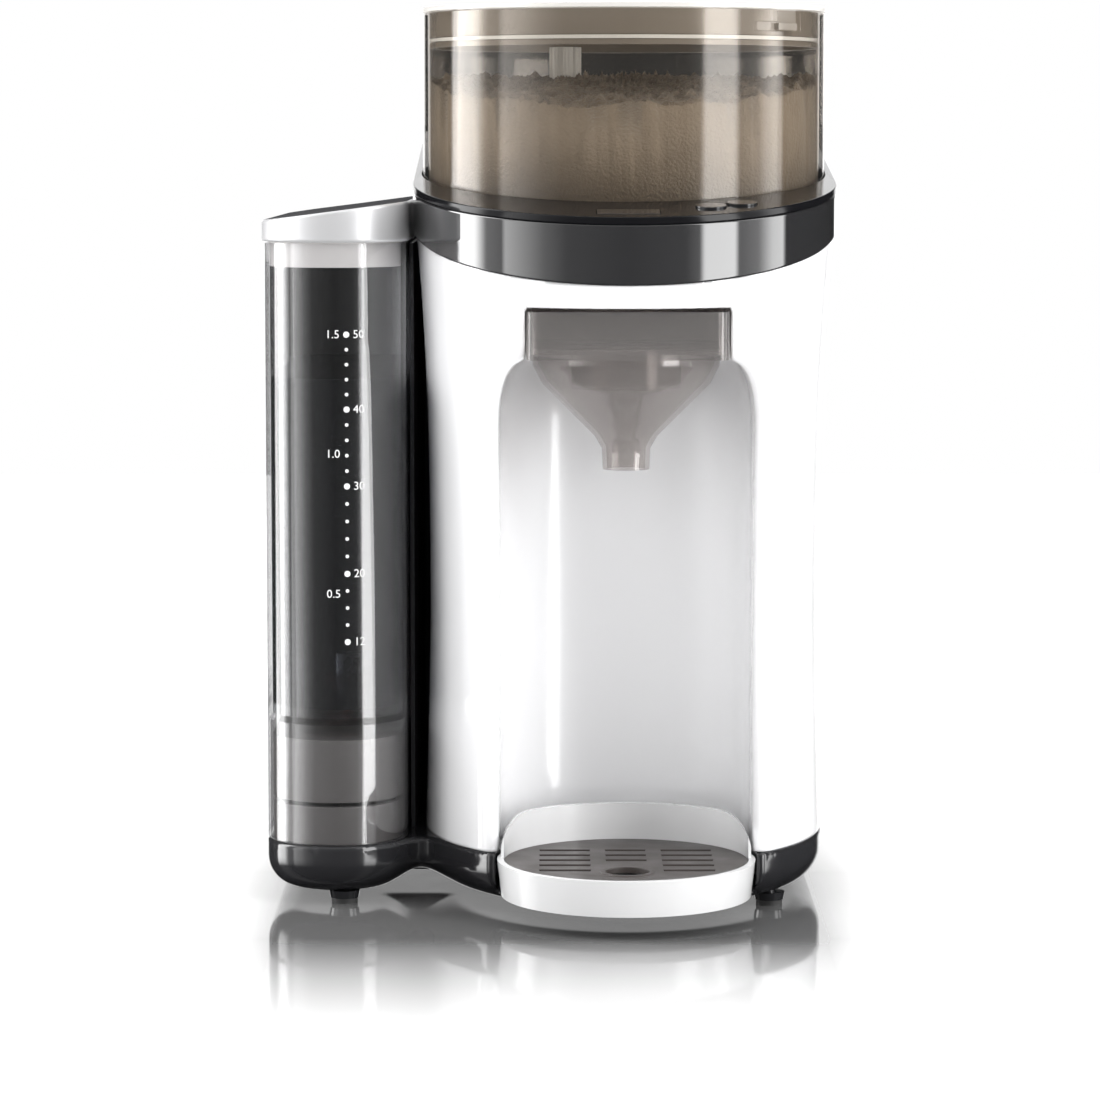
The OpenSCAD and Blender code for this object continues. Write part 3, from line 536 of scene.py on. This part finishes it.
LOOKS = {
    "bottom_plate": STEEL, "feet": BASE_DARK, "foot_pads": RUBBER, "case_screws": STEEL,
    "rear_cover": GRAPHITE, "tank_panel": GRAPHITE, "fascia_band": FASCIA, "top_deck": DECK,
    "display_window": WINDOW, "control_board": BOARD, "start_button": BUTTON,
    "menu_button": BUTTON, "hopper": SMOKE, "hopper_lid": LID_CLEAR, "lid_seal": SILICONE,
    "mixing_wheel": WHEEL, "agitator": WHEEL, "drive_shaft": STEEL, "drive_gear": NYLON,
    "pinion": BRASS, "pinion_shaft": STEEL, "gearbox_plate": STEEL, "gear_motor": MOTOR,
    "powder_chute": WHEEL, "water_nozzle": BUTTON, "funnel": FUNNEL_SMOKE,
    "funnel_insert": FUNNEL_SMOKE, "drip_tray": TRAY_WHITE, "tray_grid": GRID,
    "water_tank": TANK_SMOKE, "tank_lid": LID_SILVER, "tank_lid_skirt": SKIRT,
    "tank_valve": RED, "valve_spring": STEEL, "pedestal_upper": PEDESTAL,
    "pedestal_lower": PEDESTAL, "dock_seal": RUBBER, "dock_pin": NYLON, "water_pump": GRAPHITE,
    "pump_motor": STEEL, "inlet_hose": HOSE, "pump_hose": HOSE, "outlet_hose": HOSE,
    "water_heater": STEEL, "heater_bracket": STEEL, "thermostat": MOTOR, "power_board": BOARD,
    "power_inlet": RUBBER, "vent_grille": GRAPHITE,
}


def paint(piece, mat):
    piece.data.materials.clear()
    piece.data.materials.append(mat)


def soften(piece, width, segments=3, angle=40.0):
    """Rounds a piece's hard edges and shades it smooth."""
    piece.data.shade_smooth()
    weld = piece.modifiers.new("joined", "WELD")
    weld.merge_threshold = 0.002 * MM
    bevel = piece.modifiers.new("edges", "BEVEL")
    bevel.width = width * MM
    bevel.segments = segments
    bevel.limit_method = "ANGLE"
    bevel.angle_limit = math.radians(angle)
    bevel.harden_normals = False
    bevel.use_clamp_overlap = True
    flat = piece.modifiers.new("normals", "WEIGHTED_NORMAL")
    flat.keep_sharp = True


SOFT_EDGES = {
    "top_deck": 0.9, "drip_tray": 0.6, "tray_grid": 0.25,
    "start_button": 0.5, "menu_button": 0.5, "display_window": 0.3, "hopper_lid": 0.5,
    "hopper": 0.4, "rear_cover": 1.0, "funnel": 0.5, "water_tank": 0.6, "feet": 0.4,
    "foot_pads": 0.4, "tank_lid_skirt": 0.3, "pedestal_upper": 0.8, "pedestal_lower": 0.8,
    "mixing_wheel": 0.6, "agitator": 0.4, "power_inlet": 0.6,
}


def dress_frame():
    for node, mat in LOOKS.items():
        paint(NODES[node], mat)
        if node in SOFT_EDGES:
            soften(NODES[node], SOFT_EDGES[node])


# ---- pieces ---------------------------------------------------------------------------
def slice_off(piece, place, normal):
    """Cuts away all of a piece ahead of a plane, and leaves the cut open."""
    work = bmesh.new()
    work.from_mesh(piece.data)
    bmesh.ops.bisect_plane(work, geom=work.verts[:] + work.edges[:] + work.faces[:],
                           plane_co=place, plane_no=normal, clear_outer=True)
    work.to_mesh(piece.data)
    work.free()
    piece.data.shade_smooth()


def make_front_shell():
    over = 8.0
    low = [BODY_X - SHELL_HALF, low_of("front_shell", 1), BASE_TOP - over]
    high = [BODY_X + SHELL_HALF, SEAM_Y + over, high_of("front_shell", 2) + over]
    shell = from_field("white_front_shell", shell_field, low, high, 2.0)
    slice_off(shell, Vector((0, WIDE_Y, BAND_Z - 0.2)) * MM, (0, -BAND_SLOPE, 1))
    slice_off(shell, Vector((0, SEAM_Y, 0)) * MM, (0, 1, 0))
    slice_off(shell, Vector((0, 0, BASE_TOP)) * MM, (0, 0, -1))
    skin = shell.modifiers.new("wall", "SOLIDIFY")
    skin.thickness = WALL * MM
    skin.offset = -1
    paint(shell, WHITE)
    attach(shell, "machine")
    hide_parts("front_shell")


def outline_normals(outline):
    """Outward directions at the points of a closed outline that runs anticlockwise."""
    here = np.array(outline)
    along = np.roll(here, -1, 0) - np.roll(here, 1, 0)
    out = np.stack([along[:, 1], -along[:, 0]], 1)
    return out / np.linalg.norm(out, axis=1)[:, None]


def sweep_section(name, outline, section, low_z, high_z, capped=False):
    """Sweeps a section round an outline.

    Each section point is (inset, share, lift): how far in from the outline, how far up from
    the low to the high edge, and a height added to that. Capped sections start and end open
    and are shut with flat faces.
    """
    out = outline_normals(outline)
    count = len(outline)
    rows = []
    for inset, share, lift in section:
        for (x, y), (u, v) in zip(outline, out):
            z = low_z(x, y) * (1 - share) + high_z(x, y) * share + lift
            rows.append((x - inset * u, y - inset * v, z))
    faces = []
    turns = len(section) - 1 if capped else len(section)
    for k in range(turns):
        near = k * count
        far = (k + 1) % len(section) * count
        faces += [(near + i, near + (i + 1) % count, far + (i + 1) % count, far + i)
                  for i in range(count)]
    if capped:
        faces.append(tuple(range(count))[::-1])
        faces.append(tuple(range(turns * count, (turns + 1) * count)))
    return mesh_object(name, np.array(rows) * MM, faces)


TOP_BOW = 96.0          # how far the band's front bows out
DECK_Z = 289.7          # height of the deck at the hopper's axis
DECK_SLOPE = 0.131
DECK_T = 3.05


def band_outline():
    """The fascia band's plan: an ellipse ahead of the widest section, rear corners behind."""
    points = []
    for i in range(97):
        t = math.pi + math.pi * i / 96
        points.append((BODY_X + BAND_HALF * math.cos(t), WIDE_Y + TOP_BOW * math.sin(t)))
    back = BACK_Y + 0.5
    for i in range(1, 12):
        points.append((BODY_X + BAND_HALF, WIDE_Y + (back - CORNER_R - WIDE_Y) * i / 12))
    for side, start in ((1, 0.0), (-1, math.pi / 2)):
        for i in range(17):
            t = start + math.pi / 2 * i / 16
            points.append((BODY_X + side * (BAND_HALF - CORNER_R) + CORNER_R * math.cos(t),
                           back - CORNER_R + CORNER_R * math.sin(t)))
    for i in range(11, 0, -1):
        points.append((BODY_X - BAND_HALF, WIDE_Y + (back - CORNER_R - WIDE_Y) * i / 12))
    return points


def make_fascia():
    section = [(0.7, 0, 0), (0.2, 0, 0.2), (0, 0, 0.7), (0, 0, 1.0), (0, 0.5, 0), (0, 1, -0.8),
               (0, 1, -0.5), (0.15, 1, -0.12), (0.5, 1, 0), (0.8, 1, 0), (WALL - 0.3, 1, 0),
               (WALL, 1, 0), (WALL, 1, -0.3), (WALL, 0, 0.3), (WALL, 0, 0), (WALL - 0.3, 0, 0),
               (1.0, 0, 0)]
    band = sweep_section("fascia", band_outline(), section[::-1],
                         lambda x, y: BAND_Z + BAND_SLOPE * (y - WIDE_Y),
                         lambda x, y: DECK_Z - DECK_T + DECK_SLOPE * (y - HOPPER_Y))
    band.data.flip_normals()
    paint(band, FASCIA)
    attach(band, "machine")
    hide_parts("fascia_band")


LID_LOW = 262.8         # the tank lid's lower edge
LID_MID = 275.1         # its top over the tank's middle
LID_HIGHEST = 279.0     # where the sloping top levels out at the body
LID_TILT = math.tan(math.radians(7.2))
FACE_UP = 0.9           # upward share of a normal that counts as the flat top


def make_tank_lid():
    """Tank lid: silver sides and a dark top that slopes up to the body."""
    section = [(1.2, 0, 0), (0.25, 0, 0.25), (0, 0, 1.0), (0, 0, 1.3), (0, 0.5, 0), (0, 1, -1.5),
               (0, 1, -1.2), (0.2, 1, -0.55), (0.7, 1, -0.15), (1.3, 1, 0), (1.6, 1, 0)]
    lid = sweep_section("tank_lid_cap", nose_outline(1.0), section,
                        lambda x, y: LID_LOW,
                        lambda x, y: min(LID_MID + LID_TILT * (x - TANK_X), LID_HIGHEST),
                        capped=True)
    paint(lid, LID_SILVER)
    lid.data.materials.append(LID_TOP)
    for face in lid.data.polygons:
        if face.normal.z > FACE_UP:
            face.material_index = 1
    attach(lid, "tank_lid")
    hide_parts("tank_lid")


def make_base():
    low = [low_of("base_shell", 0), low_of("base_shell", 1), BASE_LOW]
    high = [high_of("base_shell", 0), BACK_Y, BASE_TOP]
    base = from_field("dark_base", base_field, low, high, 1.8)
    paint(base, BASE_DARK)
    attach(base, "machine")
    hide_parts("base_shell")


HEAP_FRONT = 315.0      # the powder's height at the front wall
HEAP_RISE = 11.5        # how much higher it lies at the back
SMOOTH_BELOW = 308.0    # the fill against the wall is smooth up to here
SHADED_CRUMB_SLOPE = 0.15      # and only faces that look up this much are crumbly, in a darker copy of the powder as painted shade
CLUMPS = 3.4            # height of the soft clumps on top
GRAINS = 0.6            # and of the grains over them


def heap(x, y):
    """Height of the powder over the plan: low at the front wall, heaped towards the back."""
    r = np.hypot(x, y) / HOPPER_R
    rise = HEAP_FRONT + HEAP_RISE * np.clip((y / HOPPER_R + 1.0) / 0.9, 0, 1) ** 0.8
    ripple = 1.2 * np.sin(x / 11.0 + 1.0) * np.cos(y / 13.0) + 0.7 * np.sin(x / 5.0 + y / 7.0)
    return rise + ripple * (0.3 + 0.7 * r) - 3.0 * np.clip(r - 0.8, 0, 1) * (y > 0)


def make_powder():
    """Powder in the hopper: a rough heaped top over a cylinder that fills the cup."""
    rings = 80
    spokes = 300
    outer = HOPPER_R - HOPPER_WALL - 0.15
    around = 2 * np.pi * np.arange(spokes) / spokes
    radii = outer * np.arange(1, rings + 1) / rings
    x = radii[:, None] * np.cos(around)
    y = radii[:, None] * np.sin(around)
    clump = rng.normal(size=x.shape)
    for _ in range(2):
        clump = (clump + np.roll(clump, 1, 1) + np.roll(clump, -1, 1)
                 + np.roll(clump, 1, 0) + np.roll(clump, -1, 0)) / 5
    top = heap(x, y) + CLUMPS * clump + GRAINS * rng.normal(size=x.shape)
    top[-1] = heap(x[-1], y[-1]) + 0.4 * rng.normal(size=spokes)
    points = [(0.0, 0.0, float(heap(0.0, 0.0)))]
    points += zip(x.ravel(), y.ravel(), top.ravel())
    # the fill drops past the dosing wheel's rim to the hopper's floor
    lip = WHEEL_R + 0.5
    for r, z in ((outer, HOPPER_FLOOR + 0.2), (lip, HOPPER_FLOOR + 0.2), (lip, WHEEL_TOP + 0.5)):
        points += zip(r * np.cos(around), r * np.sin(around), np.full(spokes, z))
    points.append((0.0, 0.0, WHEEL_TOP + 0.5))
    faces = []
    rows = rings + 3
    for s in range(spokes):
        t = (s + 1) % spokes
        faces.append((0, 1 + s, 1 + t))
        for row in range(rows - 1):
            near = 1 + row * spokes
            far = near + spokes
            faces.append((near + s, far + s, far + t, near + t))
        last = 1 + (rows - 1) * spokes
        faces.append((last + s, len(points) - 1, last + t))
    middle_place = np.array([BODY_X, HOPPER_Y, 0.0])
    powder = mesh_object("powder_fill", (np.array(points) + middle_place) * MM, faces)
    paint(powder, POWDER)
    powder.data.materials.append(CRUMBS_AND_SHADE)
    # upward faces of the top get the darker copy: painted shade on the top
    for face in powder.data.polygons:
        face.material_index = int(face.center.z > SMOOTH_BELOW * MM and face.normal.z > SHADED_CRUMB_SLOPE)
    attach(powder, "hopper")


TANK_WALL = 2.0
WATER_TOP = 209.5
WATER_LOW = 78.5        # just over the tank's floor and its valve seat
SHADE_SHEET_LOW = 75.3        # the painted-shade sheet's lower and upper edges
SHADE_SHEET_HIGH = 252.5
SHADE_SHEET_AHEAD = 60.0      # it starts this far behind the nose's axis


def nose_outline(grow, steps=24):
    """Points round the tank's plan, drawn out by grow."""
    half = TANK_HALF + grow
    corner = TANK_CORNER
    back = TANK_BACK + grow
    points = []
    for i in range(steps + 1):
        t = math.pi + math.pi * i / steps
        points.append((TANK_X + half * math.cos(t), NOSE_Y + half * math.sin(t)))
    for side, start in ((1, 0.0), (-1, math.pi / 2)):
        for i in range(9):
            t = start + math.pi / 2 * i / 8
            points.append((TANK_X + side * (half - corner) + corner * math.cos(t),
                           back - corner + corner * math.sin(t)))
    return points


def make_water():
    outline = nose_outline(-TANK_WALL - 0.3)
    count = len(outline)
    points = [(x, y, z) for z in (WATER_LOW, WATER_TOP) for x, y in outline]
    faces = [tuple(range(count))[::-1], tuple(range(count, 2 * count))]
    faces += [(i, (i + 1) % count, count + (i + 1) % count, count + i) for i in range(count)]
    water = mesh_object("tank_water", np.array(points) * MM, faces, smooth=False)
    bevel = water.modifiers.new("meniscus", "BEVEL")
    bevel.width = 0.8 * MM
    bevel.segments = 3
    bevel.limit_method = "ANGLE"
    bevel.angle_limit = math.radians(50)
    paint(water, WATER)
    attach(water, "tank")


def make_tank_back():
    """A dark sheet just inside the tank's rear wall, painted shade for the dark inside of the tank;
    the scale reads against it.
    """
    near_wall = [p for p in nose_outline(-TANK_WALL - 0.05) if p[1] > NOSE_Y + SHADE_SHEET_AHEAD]
    near_water = [p for p in nose_outline(-TANK_WALL - 0.2) if p[1] > NOSE_Y + SHADE_SHEET_AHEAD]
    count = len(near_wall)
    points = []
    for z in (SHADE_SHEET_LOW, SHADE_SHEET_HIGH):
        points += [(x, y, z) for x, y in near_wall]
        points += [(x, y, z) for x, y in near_water[::-1]]
    ring = 2 * count
    faces = [tuple(range(ring))[::-1], tuple(range(ring, 2 * ring))]
    faces += [(i, (i + 1) % ring, ring + (i + 1) % ring, ring + i) for i in range(ring)]
    shade_sheet = mesh_object("tank_back_shade_sheet", np.array(points) * MM, faces, smooth=False)
    paint(shade_sheet, TANK_BACK_SHADE)
    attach(shade_sheet, "tank")


# ---- scale on the tank ----------------------------------------------------------------
MARK_X = 5.6            # the scale's column, right of the tank's middle
MARK_GAP = 2.6          # from the column to the numerals
MARK_SIZE = 4.6         # height of the numerals
BIG_DOT = 1.2
SMALL_DOT = 0.7
PRINT_OUT = 0.12        # how far the print stands off the tank


def on_nose(across, height, out):
    """A place on the tank's round nose: across from its middle line, and a height."""
    r = TANK_HALF + out
    t = across / TANK_HALF
    return (TANK_X + r * math.sin(t), NOSE_Y - r * math.cos(t), height)


def scale_text(name, words, across, height, size, align):
    """Plain numerals, wrapped round the tank's nose as a mesh."""
    curve = bpy.data.curves.new(name, "FONT")
    curve.body = words
    curve.size = size
    curve.align_x = align
    curve.align_y = "CENTER"
    curve.resolution_u = 3
    flat = bpy.data.objects.new(name + "_flat", curve)
    bpy.context.scene.collection.objects.link(flat)
    bpy.context.view_layer.update()
    mesh = bpy.data.meshes.new_from_object(flat)
    bpy.data.objects.remove(flat)
    for v in mesh.vertices:
        v.co = Vector(on_nose(across + v.co.x, height + v.co.y, PRINT_OUT)) * MM
    made = bpy.data.objects.new(name, mesh)
    bpy.context.scene.collection.objects.link(made)
    finish_print(made)


def finish_print(made):
    thick = made.modifiers.new("ink", "SOLIDIFY")
    thick.thickness = 0.08 * MM
    thick.offset = 0
    paint(made, MARKS)
    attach(made, "tank")


def make_scale():
    """Ounce numerals with dots between them, and litres on the other side."""
    ounces = [(50, 227.0), (40, 197.7), (30, 167.5), (20, 133.0), (12, 106.0)]
    between = [4, 4, 4, 3]
    points = []
    faces = []

    def dot(height, r):
        start = len(points)
        sides = 20
        for i in range(sides):
            t = 2 * math.pi * i / sides
            points.append(on_nose(MARK_X + r * math.cos(t), height + r * math.sin(t), PRINT_OUT))
        faces.append(tuple(range(start, start + sides)))

    for (value, height), (_, below), inner in zip(ounces, ounces[1:], between):
        for k in range(1, inner + 1):
            dot(height + (below - height) * k / (inner + 1), SMALL_DOT)
    for value, height in ounces:
        dot(height, BIG_DOT)
        scale_text(f"mark_{value}", str(value), MARK_X + MARK_GAP, height, MARK_SIZE, "LEFT")
    for words, height in (("1.5", 227.0), ("1.0", 180.2), ("0.5", 125.0)):
        scale_text(f"litre_{words}", words, MARK_X - MARK_GAP, height, MARK_SIZE, "RIGHT")
    dots = mesh_object("scale_dots", np.array(points) * MM, faces, smooth=False)
    finish_print(dots)


# ---- stage ----------------------------------------------------------------------------
def soft_light(name, place, target, size, power, height=None):
    data = bpy.data.lights.new(name, "AREA")
    data.shape = "RECTANGLE"
    data.size = size
    data.size_y = height or size
    data.energy = power
    light = bpy.data.objects.new(name, data)
    light.visible_glossy = False
    light.location = place
    light.rotation_euler = (Vector(target) - Vector(place)).to_track_quat("-Z", "Y").to_euler()
    bpy.context.scene.collection.objects.link(light)


def floor_material():
    """White floor: matt and faintly lit, with a patch under and ahead of the object that mirrors; the
    patch's dark colour is painted shade under the object.
    """
    mat, tree, shader = new_material("studio_floor")
    # dark base colour of the mirroring patch: painted shade under the object
    tree.links.new(two_tone(tree, noise(tree, 3.0, 2.0), (0.15, 0.15, 0.15), (0.14, 0.14, 0.14)),
                   shader.inputs["Base Color"])
    tree.links.new(spread(tree, noise(tree, 8.0, 2.0), 0.05, 0.07), shader.inputs["Roughness"])
    shader.inputs["Specular IOR Level"].default_value = 1.0
    matt = tree.nodes.new("ShaderNodeBsdfPrincipled")
    matt.inputs["Base Color"].default_value = (0.95, 0.95, 0.95, 1)
    matt.inputs["Roughness"].default_value = 0.8
    matt.inputs["Emission Color"].default_value = (1, 1, 1, 1)
    matt.inputs["Emission Strength"].default_value = 0.25
    place = split_place(tree, "Object")
    # mask of the painted shade: the object's width, under it and fading out ahead
    across = along(tree, maths(tree, "ABSOLUTE", place["X"]), 0.105, 0.145, 1, 0)
    ahead = along(tree, place["Y"], -0.42, -0.14, 0, 1)
    behind = along(tree, place["Y"], 0.0, 0.15, 1, 0)
    near = maths(tree, "MULTIPLY", across, maths(tree, "MULTIPLY", ahead, behind))
    mixed(tree, near, matt, shader)
    return mat


# Brightness of the studio round the object: degrees from the front, positive to the right.
# Tall soft boxes shine from the sides and from the front corners; the studio behind is dark,
# but for a white card straight behind that the floor mirrors.
STUDIO = [(-180, 1.6), (-163, 1.6), (-160, 0.02), (-117, 0.02), (-114, 9.0), (-96, 9.0),
          (-88, 1.2), (-77, 0.8), (-75, 4.0), (-50, 1.0), (-36, 0.3), (0, 0.1), (35, 0.2),
          (44, 0.8), (47, 8.0), (66, 8.0), (69, 0.8), (82, 1.4), (92, 5.0), (100, 5.0), (102, 0.02),
          (160, 0.02), (163, 1.6), (180, 1.6)]
STUDIO_PEAK = 9.0
OVERHEAD = 0.9          # brightness straight above


def studio_world():
    world = bpy.data.worlds.new("studio")
    world.use_nodes = True
    tree = world.node_tree
    way = split_place(tree, "Generated")
    turn = maths(tree, "ARCTAN2", way["X"], maths(tree, "MULTIPLY", way["Y"], -1.0))
    place = along(tree, turn, -math.pi, math.pi, 0, 1)
    ramp = tree.nodes.new("ShaderNodeValToRGB")
    marks = ramp.color_ramp.elements
    for number, (degrees, value) in enumerate(STUDIO):
        spot = (degrees + 180) / 360
        mark = marks[number] if number < 2 else marks.new(spot)
        mark.position = spot
        share = value / STUDIO_PEAK
        mark.color = (share, share, share, 1)
    tree.links.new(place, ramp.inputs["Fac"])
    above = along(tree, way["Z"], -0.35, -0.15, 0.02, 1)
    sides = maths(tree, "MULTIPLY", maths(tree, "MULTIPLY", ramp.outputs["Color"], above), STUDIO_PEAK)
    up = along(tree, way["Z"], 0.65, 0.9, 0, 1)
    lit = maths(tree, "ADD", maths(tree, "MULTIPLY", sides, maths(tree, "SUBTRACT", 1.0, up)),
                maths(tree, "MULTIPLY", up, OVERHEAD))
    # what the camera sees: white beside the object, the dark studio through clear plastic
    path = tree.nodes.new("ShaderNodeLightPath")
    beside = maths(tree, "LESS_THAN", path.outputs["Transparent Depth"], 0.5)
    seen = along(tree, beside, 0, 1, 0.04, 1.0)
    eye = path.outputs["Is Camera Ray"]
    total = maths(tree, "ADD", maths(tree, "MULTIPLY", seen, eye),
                  maths(tree, "MULTIPLY", lit, maths(tree, "SUBTRACT", 1.0, eye)))
    tree.links.new(total, tree.nodes["Background"].inputs["Strength"])
    tree.nodes["Background"].inputs["Color"].default_value = (1, 1, 1, 1)
    bpy.context.scene.world = world


def make_stage():
    side, front, back = 2.0, -0.62, 2.0
    floor = mesh_object("floor", [(-side, front, 0), (side, front, 0), (side, back, 0),
                                  (-side, back, 0)], [(0, 1, 2, 3)], smooth=False)
    paint(floor, floor_material())
    floor.visible_glossy = False
    studio_world()
    aim = (0.0, -0.03, 0.18)
    soft_light("key", (-0.5, -1.6, 0.75), aim, 0.8, 4.5, height=1.0)
    soft_light("fill", (0.55, -1.6, 0.45), aim, 0.7, 4.5, height=0.8)
    soft_light("top", (0.0, -0.1, 1.5), aim, 1.2, 7.0)


EYE_HEIGHT = 302.0      # the camera's height over the worktop
EYE_DISTANCE = 1614.0   # and its distance from the widest section
LOOK_HEIGHT = 138.0
LENS = 131.5


def make_camera():
    data = bpy.data.cameras.new("camera")
    data.lens = LENS
    data.sensor_width = 36.0
    camera = bpy.data.objects.new("camera", data)
    place = Vector((0, WIDE_Y - EYE_DISTANCE, EYE_HEIGHT)) * MM
    target = Vector((0, WIDE_Y, LOOK_HEIGHT)) * MM
    camera.location = place
    camera.rotation_euler = (target - place).to_track_quat("-Z", "Y").to_euler()
    bpy.context.scene.collection.objects.link(camera)
    bpy.context.scene.camera = camera


make_camera()
make_stage()
dress_frame()
make_front_shell()
make_fascia()
make_tank_lid()
make_base()
make_powder()
make_water()
make_tank_back()
make_scale()
bpy.context.scene.view_settings.view_transform = "Standard"
